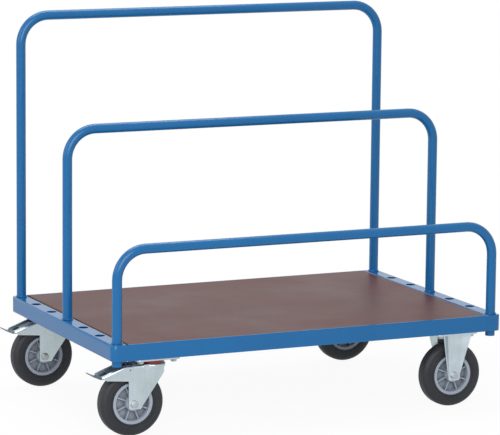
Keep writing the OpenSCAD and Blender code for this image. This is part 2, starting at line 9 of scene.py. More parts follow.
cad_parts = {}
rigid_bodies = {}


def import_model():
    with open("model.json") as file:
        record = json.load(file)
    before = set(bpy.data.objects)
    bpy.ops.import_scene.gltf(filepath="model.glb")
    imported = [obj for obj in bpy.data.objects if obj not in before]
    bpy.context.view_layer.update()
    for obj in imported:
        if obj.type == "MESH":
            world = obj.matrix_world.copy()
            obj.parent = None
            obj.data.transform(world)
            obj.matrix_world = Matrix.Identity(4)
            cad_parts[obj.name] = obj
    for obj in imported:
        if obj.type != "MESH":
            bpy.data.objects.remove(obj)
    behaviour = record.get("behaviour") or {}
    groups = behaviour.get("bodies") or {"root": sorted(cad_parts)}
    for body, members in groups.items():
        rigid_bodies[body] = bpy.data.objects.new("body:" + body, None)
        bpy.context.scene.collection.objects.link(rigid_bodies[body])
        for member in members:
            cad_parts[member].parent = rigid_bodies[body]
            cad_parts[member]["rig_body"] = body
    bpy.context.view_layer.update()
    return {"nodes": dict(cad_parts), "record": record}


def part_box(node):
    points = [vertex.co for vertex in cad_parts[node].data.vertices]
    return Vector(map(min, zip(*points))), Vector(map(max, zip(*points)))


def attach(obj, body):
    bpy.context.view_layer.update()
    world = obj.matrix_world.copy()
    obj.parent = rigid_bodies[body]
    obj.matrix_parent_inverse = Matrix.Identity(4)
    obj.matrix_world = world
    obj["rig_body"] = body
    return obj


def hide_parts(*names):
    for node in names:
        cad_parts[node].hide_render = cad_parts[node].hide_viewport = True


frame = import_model()
nodes = frame["nodes"]
scene = bpy.context.scene

# Camera that fits the picture
CAMERA_PLACE = (-3.9103, -8.5084, 2.0822)
CAMERA_TURN = math.radians(-24.739)
CAMERA_TILT = math.radians(9.204)
CAMERA_ROLL = math.radians(0.556)
CAMERA_LENS = 219.07
CAMERA_SENSOR = 36.0
CAMERA_REACH = 200.0


def add_camera():
    back = Vector((
        math.sin(CAMERA_TURN) * math.cos(CAMERA_TILT),
        -math.cos(CAMERA_TURN) * math.cos(CAMERA_TILT),
        math.sin(CAMERA_TILT),
    ))
    right = Vector((0, 0, 1)).cross(back).normalized()
    up = back.cross(right)
    rolled_right = right * math.cos(CAMERA_ROLL) + up * math.sin(CAMERA_ROLL)
    rolled_up = up * math.cos(CAMERA_ROLL) - right * math.sin(CAMERA_ROLL)
    data = bpy.data.cameras.new("photo_camera")
    data.sensor_width = CAMERA_SENSOR
    data.lens = CAMERA_LENS
    data.clip_end = CAMERA_REACH
    camera = bpy.data.objects.new("photo_camera", data)
    turn = Matrix((rolled_right, rolled_up, back)).transposed()
    camera.matrix_world = Matrix.Translation(CAMERA_PLACE) @ turn.to_4x4()
    scene.collection.objects.link(camera)
    scene.camera = camera


# Nodes: the pair at the end of a call is the node's place in the editor

FLOAT, WHOLE = "NodeSocketFloat", "NodeSocketInt"
COLOUR, VECTOR = "NodeSocketColor", "NodeSocketVector"
SHAPE, FINISH, GEOMETRY = "NodeSocketObject", "NodeSocketMaterial", "NodeSocketGeometry"
ORIGIN = (0, 0, 0)


def node_of(tree, kind, place=(0, 0), **settings):
    made = tree.nodes.new(kind)
    made.location = place
    for name, value in settings.items():
        setattr(made, name, value)
    return made


def feed(tree, socket, value):
    """Links an output to a socket, or sets a plain value on it."""
    if isinstance(value, bpy.types.NodeSocket):
        tree.links.new(value, socket)
    else:
        socket.default_value = value


def feed_in_turn(tree, made, values):
    for socket, value in zip(made.inputs, values):
        feed(tree, socket, value)
    return made.outputs


def feed_by_name(tree, made, values):
    """Feeds inputs by their names, with an underscore for a space."""
    for name, value in values.items():
        feed(tree, made.inputs[name.replace("_", " ")], value)
    return made.outputs


def wire(tree, kind, place=(0, 0), settings=None, **values):
    """New node with its settings and named inputs; gives its outputs."""
    return feed_by_name(tree, node_of(tree, kind, place, **(settings or {})), values)


def maths(tree, operation, *values, place=(0, 0)):
    made = node_of(tree, "ShaderNodeMath", place, operation=operation)
    return feed_in_turn(tree, made, values)[0]


def vector_maths(tree, operation, *values, place=(0, 0)):
    made = node_of(tree, "ShaderNodeVectorMath", place, operation=operation)
    return feed_in_turn(tree, made, values)


def scaled(tree, vector, factor, place=(0, 0)):
    return wire(tree, "ShaderNodeVectorMath", place, {"operation": "SCALE"}, Vector=vector,
                Scale=factor)[0]


def split(tree, vector, place=(0, 0)):
    return wire(tree, "ShaderNodeSeparateXYZ", place, Vector=vector)


def ramp(tree, value, low, high, to_low=0.0, to_high=1.0, place=(0, 0)):
    """Straight change from one pair of values to another that holds its ends."""
    return wire(tree, "ShaderNodeMapRange", place, {"clamp": True}, Value=value, From_Min=low,
                From_Max=high, To_Min=to_low, To_Max=to_high)["Result"]


def mix_colour(tree, share, first, second, place=(0, 0)):
    made = node_of(tree, "ShaderNodeMix", place, data_type="RGBA")
    for index, value in ((0, share), (6, first), (7, second)):
        feed(tree, made.inputs[index], value)
    return made.outputs[2]


def mix_shader(tree, share, first, second, place=(0, 0)):
    made = node_of(tree, "ShaderNodeMixShader", place)
    return feed_in_turn(tree, made, (share, first, second))[0]


def noise(tree, vector, scale, detail, roughness, place=(0, 0)):
    return wire(tree, "ShaderNodeTexNoise", place, Vector=vector, Scale=scale, Detail=detail,
                Roughness=roughness)["Fac"]


def cleared_tree(owner):
    """Empty node tree of a world or material."""
    owner.use_nodes = True
    owner.node_tree.nodes.clear()
    return owner.node_tree


def add_inputs(tree, inputs):
    """Named inputs of a group; inputs map a name to its kind and default."""
    for name, (kind, default) in inputs.items():
        socket = tree.interface.new_socket(name, in_out="INPUT", socket_type=kind)
        if default is not None:
            socket.default_value = default


# Stage: pale floor, white surroundings and soft lamps

WHITE = (1, 1, 1, 1)
SKY_COLOUR = (0.95, 0.97, 1.0, 1)
SKY_STRENGTH = 0.50
PAPER = (0.80, 0.81, 0.82, 1)
FLOOR_HALF = 3.0
# The floor's glow, near the part and far from it: what is left shows the shadow
GLOW_REACH = (1.0, 2.6)
GLOW = (0.94, 1.0)
LAMPS = (  # name, place, aim, size, power
    ("front_softbox", (-2.2, -4.4, 2.6), (0, 0, 0.4), (3.6, 3.6), 170.0),
    ("left_softbox", (-4.2, 0.2, 2.2), (0, 0, 0.4), (2.0, 2.4), 30.0),
    ("top_softbox", (0.0, 1.2, 4.4), (0, 0, 0.3), (3.4, 2.6), 100.0),
)


def shown_rays(tree):
    """1 for what is seen, straight on, in metal or through glass; 0 for the light on the part."""
    rays = node_of(tree, "ShaderNodeLightPath", (-300, 250)).outputs
    mirrored = maths(tree, "MAXIMUM", rays["Is Glossy Ray"], rays["Is Transmission Ray"],
                     place=(-100, 100))
    return maths(tree, "MAXIMUM", rays["Is Camera Ray"], mirrored, place=(100, 250))


def light_world():
    """Plain white to look at and in reflections, a softer white for the light on the part."""
    world = bpy.data.worlds.new("studio")
    scene.world = world
    tree = cleared_tree(world)
    sky = wire(tree, "ShaderNodeBackground", (300, 0), Color=SKY_COLOUR, Strength=SKY_STRENGTH)[0]
    white = wire(tree, "ShaderNodeBackground", (300, -200), Color=WHITE, Strength=1.0)[0]
    room = mix_shader(tree, shown_rays(tree), sky, white, (500, 0))
    wire(tree, "ShaderNodeOutputWorld", (700, 0), Surface=room)


def floor_paper():
    """Pale paper: glows white where it is seen, keeps a faint shadow, is clear from below."""
    material = bpy.data.materials.new("floor_paper")
    tree = cleared_tree(material)
    spot = node_of(tree, "ShaderNodeTexCoord", (-500, -200)).outputs["Object"]
    reach = vector_maths(tree, "LENGTH", spot, place=(-300, -200))["Value"]
    glow_share = ramp(tree, reach, *GLOW_REACH, *GLOW, (-100, -200))
    share = maths(tree, "MULTIPLY", shown_rays(tree), glow_share, place=(350, 200))
    paper = wire(tree, "ShaderNodeBsdfDiffuse", (500, 100), Color=PAPER)[0]
    glow = wire(tree, "ShaderNodeEmission", (500, -100), Color=WHITE, Strength=1.0)[0]
    above = mix_shader(tree, share, paper, glow, (700, 0))
    clear = node_of(tree, "ShaderNodeBsdfTransparent", (700, -200)).outputs[0]
    from_below = node_of(tree, "ShaderNodeNewGeometry", (700, 300)).outputs["Backfacing"]
    sided = mix_shader(tree, from_below, above, clear, (900, 0))
    wire(tree, "ShaderNodeOutputMaterial", (1100, 0), Surface=sided)
    return material


def add_floor():
    mesh = bpy.data.meshes.new("floor")
    corners = [(x * FLOOR_HALF, y * FLOOR_HALF, 0) for x, y in ((-1, -1), (1, -1), (1, 1), (-1, 1))]
    mesh.from_pydata(corners, [], [(0, 1, 2, 3)])
    mesh.materials.append(floor_paper())
    floor = bpy.data.objects.new("floor", mesh)
    scene.collection.objects.link(floor)


def add_lamp(name, place, aim, size, power):
    data = bpy.data.lights.new(name, "AREA")
    data.shape = "RECTANGLE"
    data.size, data.size_y = size
    data.energy = power
    lamp = bpy.data.objects.new(name, data)
    lamp.location = place
    lamp.rotation_mode = "QUATERNION"
    lamp.rotation_quaternion = (Vector(aim) - Vector(place)).to_track_quat("-Z", "Y")
    lamp.visible_camera = False
    scene.collection.objects.link(lamp)


scene.view_settings.view_transform = "Standard"
add_camera()
light_world()
add_floor()
for lamp_row in LAMPS:
    add_lamp(*lamp_row)

# Effects that several finishes share

# Spans of a value over which each effect comes in
CLOUD_SPAN = (0.3, 0.7)
LINE_SPAN = (0.25, 0.75)
EDGE_SPAN = (0.995, 0.80)
WEAR_AND_HIGHLIGHT_SPAN = (0.35, 0.6)
LEAST_WEAR_AND_HIGHLIGHT = 0.35
HOLLOW_SHADE_SPAN = (0.25, 0.85)


def new_group(name, inputs, outputs):
    """Shader group with named sockets; gives its tree and what its inputs put in."""
    tree = bpy.data.node_groups.new(name, "ShaderNodeTree")
    add_inputs(tree, inputs)
    for label, kind in outputs.items():
        tree.interface.new_socket(label, in_out="OUTPUT", socket_type=kind)
    return tree, node_of(tree, "NodeGroupInput", (-900, 0)).outputs


def cloud_group():
    """Slow cloudy change of tone and gloss, with a fine grain over it."""
    tree, given = new_group(
        "cloudy_tone",
        {"Vector": (VECTOR, ORIGIN), "Colour": (COLOUR, (0.5, 0.5, 0.5, 1)),
         "Cloud Scale": (FLOAT, 6.0), "Grain Scale": (FLOAT, 400.0), "Depth": (FLOAT, 0.06),
         "Roughness Low": (FLOAT, 0.3), "Roughness High": (FLOAT, 0.4)},
        {"Colour": COLOUR, "Roughness": FLOAT, "Grain": FLOAT},
    )
    cloud = noise(tree, given["Vector"], given["Cloud Scale"], 4.0, 0.55, (-600, 200))
    grain = noise(tree, given["Vector"], given["Grain Scale"], 2.0, 0.5, (-600, -200))
    spread = ramp(tree, cloud, *CLOUD_SPAN, -1.0, 1.0, (-400, 200))
    factor = maths(tree, "MULTIPLY_ADD", spread, given["Depth"], 1.0, place=(-200, 200))
    rough = ramp(tree, cloud, *CLOUD_SPAN, given["Roughness Low"], given["Roughness High"],
                 (100, -100))
    wire(tree, "NodeGroupOutput", (900, 0), Roughness=rough, Grain=grain,
         Colour=scaled(tree, given["Colour"], factor, (100, 200)))
    return tree


def streak_group():
    """Fine lines drawn out along one direction, as rolling, grain or turning leaves them."""
    tree, given = new_group(
        "drawn_lines",
        {"Vector": (VECTOR, ORIGIN), "Stretch": (VECTOR, (1, 1, 1)), "Contrast": (FLOAT, 0.2)},
        {"Lines": FLOAT, "Tone": FLOAT},
    )
    drawn = vector_maths(tree, "MULTIPLY", given["Vector"], given["Stretch"], place=(-650, 0))[0]
    lines = noise(tree, drawn, 1.0, 5.0, 0.6, (-400, 0))
    spread = ramp(tree, lines, *LINE_SPAN, -1.0, 1.0, (-150, 100))
    tone = maths(tree, "MULTIPLY_ADD", spread, given["Contrast"], 1.0, place=(150, 100))
    wire(tree, "NodeGroupOutput", (900, 0), Lines=lines, Tone=tone)
    return tree


def edge_wear_and_highlight_group():
    """Mask of the narrow band along outer edges, broken up by a grain: edge wear and painted
    highlight.
    """
    tree, given = new_group(
        "edge_wear_and_highlight",
        {"Vector": (VECTOR, ORIGIN), "Width": (FLOAT, 0.001), "Grain Scale": (FLOAT, 300.0)},
        {"Edge": FLOAT},
    )
    rounded = wire(tree, "ShaderNodeBevel", (-650, 0), {"samples": 6}, Radius=given["Width"])[0]
    plain = node_of(tree, "ShaderNodeNewGeometry", (-650, -200)).outputs["Normal"]
    agree = vector_maths(tree, "DOT_PRODUCT", rounded, plain, place=(-400, 0))["Value"]
    band = ramp(tree, agree, *EDGE_SPAN, place=(-150, 0))
    grain = noise(tree, given["Vector"], given["Grain Scale"], 3.0, 0.6, (-400, -300))
    broken = ramp(tree, grain, *WEAR_AND_HIGHLIGHT_SPAN, LEAST_WEAR_AND_HIGHLIGHT, 1.0, (-150, -300))
    edge = maths(tree, "MULTIPLY", band, broken, place=(200, 0))
    wire(tree, "NodeGroupOutput", (900, 0), Edge=edge)
    return tree


def painted_hollow_shade_group():
    """Painted shade: tone that falls off in narrow hollows, as in the pockets between ribs, where
    shade falls.
    """
    tree, given = new_group(
        "painted_hollow_shade", {"Reach": (FLOAT, 0.02), "Depth": (FLOAT, 0.5)}, {"Tone": FLOAT},
    )
    open_share = wire(tree, "ShaderNodeAmbientOcclusion", (-600, 0),
                      {"samples": 8, "only_local": True}, Distance=given["Reach"])["AO"]
    darkest = maths(tree, "SUBTRACT", 1.0, given["Depth"], place=(-400, -200))
    tone = ramp(tree, open_share, *HOLLOW_SHADE_SPAN, darkest, 1.0, (-100, 0))
    wire(tree, "NodeGroupOutput", (900, 0), Tone=tone)
    return tree


CLOUDY_TONE = cloud_group()
DRAWN_LINES = streak_group()
EDGE_WEAR_AND_HIGHLIGHT = edge_wear_and_highlight_group()
PAINTED_HOLLOW_SHADE = painted_hollow_shade_group()


def use_group(tree, group, place, **values):
    return wire(tree, "ShaderNodeGroup", place, {"node_tree": group}, **values)


def cloudy(tree, vector, colour, rough, place, cloud, grain, depth):
    return use_group(tree, CLOUDY_TONE, place, Vector=vector, Colour=(*colour, 1),
                     Cloud_Scale=cloud, Grain_Scale=grain, Depth=depth, Roughness_Low=rough[0],
                     Roughness_High=rough[1])


def add_bump(tree, height, strength, distance, under=None, place=(350, -300)):
    """Bump on the plain surface, or over another bump."""
    values = {} if under is None else {"Normal": under}
    return wire(tree, "ShaderNodeBump", place, Height=height, Strength=strength,
                Distance=distance, **values)[0]


def new_material(name):
    """Material with its tree, its shader and the place on the part."""
    material = bpy.data.materials.new(name)
    tree = cleared_tree(material)
    shader = node_of(tree, "ShaderNodeBsdfPrincipled", (600, 0))
    wire(tree, "ShaderNodeOutputMaterial", (900, 0), Surface=shader.outputs[0])
    return material, tree, shader, node_of(tree, "ShaderNodeTexCoord", (-1100, 0)).outputs["Object"]


# Finishes

RUB_AND_HIGHLIGHT_WIDTH = 0.0012
PLATE_CLOUD = 22.0
PLATE_BLOTCH = PLATE_CLOUD * 0.45
PLATE_SPAN = (0.42, 0.62)
PLATE_RUB_AND_HIGHLIGHT = 0.5
PLATE_EDGE = 1.25
ROLLED = (260.0, 260.0, 14.0)
TURNED = (500.0, 60.0, 500.0)

# Wheels stand on both sides of this place, so one pattern serves all four
WHEEL_MIDDLE_X = -0.010108
WHEEL_HALF_X = 0.535
AXLE_Z = 0.1
TREAD_SPAN = (0.096, 0.0995)
TREAD_BLOOM = 0.35
BLOOM_TONE = 1.9
MOULD_WAVES = 2600.0

DECK_TOP = 0.285
DECK_COLOUR = (0.078, 0.026, 0.024)
DECK_ROUGH = (0.38, 0.48)
DECK_GRAIN = (5.0, 190.0, 190.0)
CUT_SPAN = (0.7, 0.3)
PLY_LIGHT = (0.30, 0.17, 0.085, 1)
PLY_DARK = (0.13, 0.07, 0.04, 1)
PLY_LAYER = 0.0015
GLUE_SPAN = (0.45, 0.55)


def painted(name, colour, rub_and_highlight_colour, rough, cloud=5.0, grain=420.0, bump=(0.06, 0.0006), rub_and_highlight=0.4,
            specular=0.5, hollow_shade=0.0):
    """Paint or plastic: cloudy tone, fine grain, edges rubbed lighter as wear and painted
    highlight, painted shade in hollows.
    """
    material, tree, shader, vector = new_material(name)
    tone = cloudy(tree, vector, colour, rough, (-600, 100), cloud, grain, depth=0.04)
    # Edges rubbed lighter: part wear, part painted highlight
    edge = use_group(tree, EDGE_WEAR_AND_HIGHLIGHT, (-600, -250), Vector=vector, Width=RUB_AND_HIGHLIGHT_WIDTH)["Edge"]
    share = maths(tree, "MULTIPLY", edge, rub_and_highlight, place=(-300, -250))
    coat = mix_colour(tree, share, tone["Colour"], (*rub_and_highlight_colour, 1), (0, 100))
    # Painted shade: ambient occlusion darkens the base colour in hollows
    if hollow_shade:
        shade = use_group(tree, PAINTED_HOLLOW_SHADE, (0, -150), Depth=hollow_shade)["Tone"]
        coat = scaled(tree, coat, shade, (250, 100))
    feed_by_name(tree, shader, {
        "Base Color": coat, "Roughness": tone["Roughness"],
        "Normal": add_bump(tree, tone["Grain"], *bump), "Specular IOR Level": specular,
    })
    return material


def plated(name, colour, tint, rough, metallic, stretch, contrast):
    """Zinc or bare metal: cloudy tint, drawn lines and brighter edges as wear and painted
    highlight.
    """
    material, tree, shader, vector = new_material(name)
    tone = cloudy(tree, vector, colour, rough, (-700, 200), PLATE_CLOUD, grain=1100.0, depth=0.07)
    lines = use_group(tree, DRAWN_LINES, (-700, -100), Vector=vector, Stretch=stretch,
                      Contrast=contrast)
    edge = use_group(tree, EDGE_WEAR_AND_HIGHLIGHT, (-700, -350), Vector=vector, Width=RUB_AND_HIGHLIGHT_WIDTH)["Edge"]
    blotch = noise(tree, vector, PLATE_BLOTCH, 2.0, 0.5, (-900, 400))
    patch = ramp(tree, blotch, *PLATE_SPAN, place=(-500, 400))
    tinted = mix_colour(tree, patch, tone["Colour"], (*tint, 1), (-300, 200))
    lined = scaled(tree, tinted, lines["Tone"], (-100, 150))
    # Brighter edges: part wear, part painted highlight
    share = maths(tree, "MULTIPLY", edge, PLATE_RUB_AND_HIGHLIGHT, place=(-300, -350))
    bright = [min(1.0, part * PLATE_EDGE) for part in colour]
    low = add_bump(tree, lines["Lines"], strength=0.06, distance=0.0002, place=(200, -300))
    feed_by_name(tree, shader, {
        "Base Color": mix_colour(tree, share, lined, (*bright, 1), (200, 100)),
        "Roughness": tone["Roughness"],
        "Normal": add_bump(tree, tone["Grain"], 0.03, 0.0002, low, (400, -300)),
        "Metallic": metallic,
    })
    return material


def from_axle(tree, vector):
    """Distance from the axle of the wheel that a place is on."""
    x, _, z = split(tree, vector, (-900, -300))
    from_middle = maths(tree, "SUBTRACT", x, WHEEL_MIDDLE_X, place=(-750, -200))
    either_side = maths(tree, "ABSOLUTE", from_middle, place=(-600, -200))
    across = maths(tree, "SUBTRACT", either_side, WHEEL_HALF_X, place=(-450, -200))
    up = maths(tree, "SUBTRACT", z, AXLE_Z, place=(-600, -400))
    square = maths(tree, "MULTIPLY", across, across, place=(-300, -200))
    both = maths(tree, "MULTIPLY_ADD", up, up, square, place=(-150, -300))
    return maths(tree, "SQRT", both, place=(0, -300))


def rubber(name, colour, rough):
    """Moulded rubber: matt grain, faint rings from the mould and a greyer bloom on the tread."""
    material, tree, shader, vector = new_material(name)
    tone = cloudy(tree, vector, colour, rough, (-600, 300), cloud=26.0, grain=900.0, depth=0.22)
    out = from_axle(tree, vector)
    waves = maths(tree, "MULTIPLY", out, MOULD_WAVES, place=(150, -300))
    rings = maths(tree, "SINE", waves, place=(300, -300))
    tread = ramp(tree, out, *TREAD_SPAN, 0.0, TREAD_BLOOM, (150, 200))
    bloom = [part * BLOOM_TONE for part in colour]
    low = add_bump(tree, rings, strength=0.05, distance=0.0002, place=(400, -250))
    feed_by_name(tree, shader, {
        "Base Color": mix_colour(tree, tread, tone["Colour"], (*bloom, 1), (350, 200)),
        "Roughness": tone["Roughness"],
        "Normal": add_bump(tree, tone["Grain"], 0.22, 0.0004, low, (450, -450)),
        "Specular IOR Level": 0.35,
    })
    return material


def film_faced():
    """Phenol film with a faint long grain; light and dark plywood layers along the cut edges."""
    material, tree, shader, vector = new_material("deck_film")
    tone = cloudy(tree, vector, DECK_COLOUR, DECK_ROUGH, (-600, 300), cloud=3.5, grain=700.0,
                  depth=0.10)
    grain = use_group(tree, DRAWN_LINES, (-600, 0), Vector=vector, Stretch=DECK_GRAIN,
                      Contrast=0.16)
    film = scaled(tree, tone["Colour"], grain["Tone"], (-200, 200))
    normal = node_of(tree, "ShaderNodeNewGeometry", (-900, -500)).outputs["Normal"]
    upright = maths(tree, "ABSOLUTE", split(tree, normal, (-700, -500))[2], place=(-500, -500))
    cut = ramp(tree, upright, *CUT_SPAN, place=(-300, -500))
    height = split(tree, vector, (-900, -700))[2]
    layers = maths(tree, "DIVIDE", height, 2 * PLY_LAYER, place=(-700, -700))
    in_layer = maths(tree, "FRACT", layers, place=(-500, -700))
    glue = ramp(tree, in_layer, *GLUE_SPAN, place=(-300, -700))
    wood = mix_colour(tree, glue, PLY_LIGHT, PLY_DARK, (-100, -600))
    veneer = scaled(tree, wood, grain["Tone"], (50, -600))
    low = add_bump(tree, grain["Lines"], strength=0.05, distance=0.0004, place=(250, -300))
    feed_by_name(tree, shader, {
        "Base Color": mix_colour(tree, cut, film, veneer, (250, 100)),
        "Roughness": tone["Roughness"],
        "Normal": add_bump(tree, tone["Grain"], 0.05, 0.0004, low, (420, -300)),
        "Specular IOR Level": 0.16,
    })
    return material


FINISHES = {
    "blue_paint": painted("powder_coat_blue", (0.005, 0.118, 0.312), (0.03, 0.19, 0.44),
                          (0.14, 0.20), bump=(0.03, 0.0004), specular=0.32),
    "deck_film": film_faced(),
    "zinc": plated("zinc_plate", (0.51, 0.585, 0.635), (0.45, 0.53, 0.555), (0.20, 0.34), 0.88,
                   ROLLED, 0.05),
    "steel": plated("bright_steel", (0.42, 0.45, 0.48), (0.37, 0.39, 0.40), (0.36, 0.48), 0.85,
                    TURNED, 0.06),
    "red_plastic": painted("red_seal", (0.215, 0.007, 0.020), (0.42, 0.04, 0.06), (0.24, 0.34),
                           cloud=40.0, grain=1500.0),
    "pad_rubber": rubber("pad_rubber", (0.022, 0.022, 0.023), (0.6, 0.75)),
    "tyre": rubber("tyre_rubber", (0.019, 0.021, 0.026), (0.42, 0.58)),
    # Hub plastic: painted shade in its pockets; its lighter edges are part wear, part painted
    # highlight
    "grey_plastic": painted("hub_plastic", (0.315, 0.360, 0.425), (0.46, 0.51, 0.58), (0.32, 0.42),
                            cloud=20.0, grain=1400.0, bump=(0.10, 0.0002), rub_and_highlight=0.6, hollow_shade=0.55),
}

# Pedals carry the same plating, darkened as painted shade for the shade and dark reflection under
# the frame
SHADED_PEDAL_PLATE = plated("pedal_plate_painted_shade", (0.15, 0.19, 0.23), (0.11, 0.15, 0.18), (0.30, 0.44), 0.80,
                     ROLLED, 0.10)

# CAD nodes: finish and eased edges, in metres

SLOT_OF = {row["node"]: row["material_slot"] for row in frame["record"]["subparts"]}
EASED_EDGES = {"zinc": 0.0006, "grey_plastic": 0.0005, "blue_paint": 0.0006, "red_plastic": 0.0006}
SHARP_ANGLE = math.radians(35)
SEAM = 1e-5
FINE_SEAM = 1e-7


def ease_edges(node, width):
    weld = node.modifiers.new("closed_seams", "WELD")
    weld.merge_threshold = SEAM
    ease = node.modifiers.new("eased_edges", "BEVEL")
    ease.width = width
    ease.segments = 2
    ease.limit_method = "ANGLE"
    ease.angle_limit = SHARP_ANGLE
    ease.harden_normals = True
    ease.use_clamp_overlap = True


def dress_cad_nodes():
    for name, node in nodes.items():
        slot = SLOT_OF[name]
        node.data.materials.clear()
        # Pedals take the darker copy of the plating: painted shade
        shaded_pedal = name.endswith("brake_pedal")
        node.data.materials.append(SHADED_PEDAL_PLATE if shaded_pedal else FINISHES[slot])
        if slot in EASED_EDGES:
            ease_edges(node, EASED_EDGES[slot])


dress_cad_nodes()

# Trees for pieces shaped by rules: bent tubes, fasteners and turned tyres

TUBE_R = 0.015


def new_shape(name, inputs):
    """Geometry tree with named sizes, fed by a mesh of points or a path."""
    tree = bpy.data.node_groups.new(name, "GeometryNodeTree")
    add_inputs(tree, {"Geometry": (GEOMETRY, None), **inputs, "Material": (FINISH, None)})
    tree.interface.new_socket("Geometry", in_out="OUTPUT", socket_type=GEOMETRY)
    return tree, node_of(tree, "NodeGroupInput", (-1200, 0)).outputs


def compare(tree, kind, operation, first, second, place=(0, 0)):
    """Compare node; its sockets for whole numbers come after those for floats."""
    made = node_of(tree, "FunctionNodeCompare", place, data_type=kind, operation=operation)
    start = 2 if kind == "INT" else 0
    feed(tree, made.inputs[start], first)
    feed(tree, made.inputs[start + 1], second)
    return made.outputs[0]


def circle(tree, steps, radius, place=(0, 0)):
    return wire(tree, "GeometryNodeCurvePrimitiveCircle", place, Resolution=steps, Radius=radius)[0]


def level_circle(tree, steps, radius, place=(0, 0)):
    """Circle to sweep a section along, with the section kept upright."""
    way = circle(tree, steps, radius, place)
    beside = (place[0] + 200, place[1])
    return wire(tree, "GeometryNodeSetCurveNormal", beside, {"mode": "Z_UP"}, Curve=way)[0]


def sweep(tree, path, section, place=(0, 0)):
    return wire(tree, "GeometryNodeCurveToMesh", place, Curve=path, Profile_Curve=section)[0]


def close_shape(tree, parts, material, seam=SEAM):
    """Joins the parts, makes them real, shades them smooth between sharp edges, sets the finish."""
    joined = node_of(tree, "GeometryNodeJoinGeometry", (600, 0))
    for part in reversed(parts):
        tree.links.new(part, joined.inputs[0])
    real = wire(tree, "GeometryNodeRealizeInstances", (760, 0), Geometry=joined.outputs[0])[0]
    merged = wire(tree, "GeometryNodeMergeByDistance", (920, 0), Geometry=real, Distance=seam)[0]
    smooth = wire(tree, "GeometryNodeSetShadeSmooth", (1080, 0), Geometry=merged,
                  Shade_Smooth=True)[0]
    angle = node_of(tree, "GeometryNodeInputMeshEdgeAngle", (900, -200)).outputs["Unsigned Angle"]
    sharp = compare(tree, "FLOAT", "GREATER_THAN", angle, SHARP_ANGLE, (1080, -200))
    edged = wire(tree, "GeometryNodeSetShadeSmooth", (1240, 0), {"domain": "EDGE"},
                 Geometry=smooth, Selection=sharp, Shade_Smooth=False)[0]
    done = wire(tree, "GeometryNodeSetMaterial", (1400, 0), Geometry=edged, Material=material)[0]
    wire(tree, "NodeGroupOutput", (1560, 0), Geometry=done)


def tube_walls(tree, sizes, bore):
    """Outer wall with a lip at each open end, and the lining of the bore."""
    path = wire(tree, "GeometryNodeMeshToCurve", (-900, 200), Mesh=sizes["Geometry"])[0]
    bent = wire(tree, "GeometryNodeFilletCurve", (-700, 200), {"mode": "POLY"}, Curve=path,
                Count=sizes["Bend Steps"], Radius=sizes["Bend Radius"], Limit_Radius=True)[0]
    steps = sizes["Round Steps"]
    outer = sweep(tree, bent, circle(tree, steps, sizes["Tube Radius"], (-700, 0)), (-450, 0))
    inner = sweep(tree, bent, circle(tree, steps, bore, (-700, -150)), (-450, -150))
    sides = node_of(tree, "GeometryNodeInputMeshEdgeNeighbors", (-450, 350)).outputs[0]
    open_edge = compare(tree, "INT", "EQUAL", sides, 1, (-250, 350))
    facing = node_of(tree, "GeometryNodeInputNormal", (-450, 500)).outputs[0]
    inward = scaled(tree, facing, -1.0, (-250, 500))
    lipped = wire(tree, "GeometryNodeExtrudeMesh", (0, 300), {"mode": "EDGES"}, Mesh=outer,
                  Selection=open_edge, Offset=inward, Offset_Scale=sizes["Tube Wall"])[0]
    lining = wire(tree, "GeometryNodeFlipFaces", (0, -100), Mesh=inner)[0]
    return [lipped, lining]


def stop_collars(tree, sizes, bore):
    """Eased collar on each leg, seated on the beam."""
    position = node_of(tree, "GeometryNodeInputPosition", (-1000, -400)).outputs[0]
    x, y, z = split(tree, position, (-850, -400))
    foot = compare(tree, "FLOAT", "LESS_THAN", z, sizes["Collar Seat"], (-650, -500))
    level = maths(tree, "MULTIPLY_ADD", sizes["Collar Height"], 0.5, sizes["Collar Seat"],
                  place=(-650, -350))
    seat = wire(tree, "ShaderNodeCombineXYZ", (-450, -350), X=x, Y=y, Z=level)[0]
    moved = wire(tree, "GeometryNodeSetPosition", (-250, -350), Geometry=sizes["Geometry"],
                 Selection=foot, Position=seat)[0]
    limit = maths(tree, "ADD", level, sizes["Tube Radius"], place=(-450, -600))
    seated = compare(tree, "FLOAT", "LESS_THAN", z, limit, (-250, -600))
    width = maths(tree, "SUBTRACT", sizes["Collar Radius"], bore, place=(-650, -750))
    across = maths(tree, "ADD", sizes["Collar Radius"], bore, place=(-650, -900))
    middle = maths(tree, "MULTIPLY", across, 0.5, place=(-500, -900))
    section = wire(tree, "GeometryNodeCurvePrimitiveQuadrilateral", (-450, -750), Width=width,
                   Height=sizes["Collar Height"])[0]
    eased = wire(tree, "GeometryNodeFilletCurve", (-250, -750), {"mode": "POLY"}, Curve=section,
                 Count=3, Radius=sizes["Collar Edge"], Limit_Radius=True)[0]
    way = level_circle(tree, sizes["Round Steps"], middle, (-450, -1000))
    collar = sweep(tree, way, eased, (0, -800))
    return wire(tree, "GeometryNodeInstanceOnPoints", (250, -600), Points=moved, Selection=seated,
                Instance=collar)[0]


def bow_tree():
    """Bent tube with open legs and a stop collar on each leg, along a path of four points."""
    tree, sizes = new_shape("bent_tube_bow", {
        "Bend Radius": (FLOAT, 0.09), "Bend Steps": (WHOLE, 14), "Tube Radius": (FLOAT, TUBE_R),
        "Tube Wall": (FLOAT, 0.002), "Round Steps": (WHOLE, 40), "Collar Radius": (FLOAT, 0.0175),
        "Collar Height": (FLOAT, 0.004), "Collar Seat": (FLOAT, DECK_TOP),
        "Collar Edge": (FLOAT, 0.0008),
    })
    bore = maths(tree, "SUBTRACT", sizes["Tube Radius"], sizes["Tube Wall"], place=(-900, -100))
    walls = tube_walls(tree, sizes, bore)
    close_shape(tree, [*walls, stop_collars(tree, sizes, bore)], sizes["Material"])
    return tree


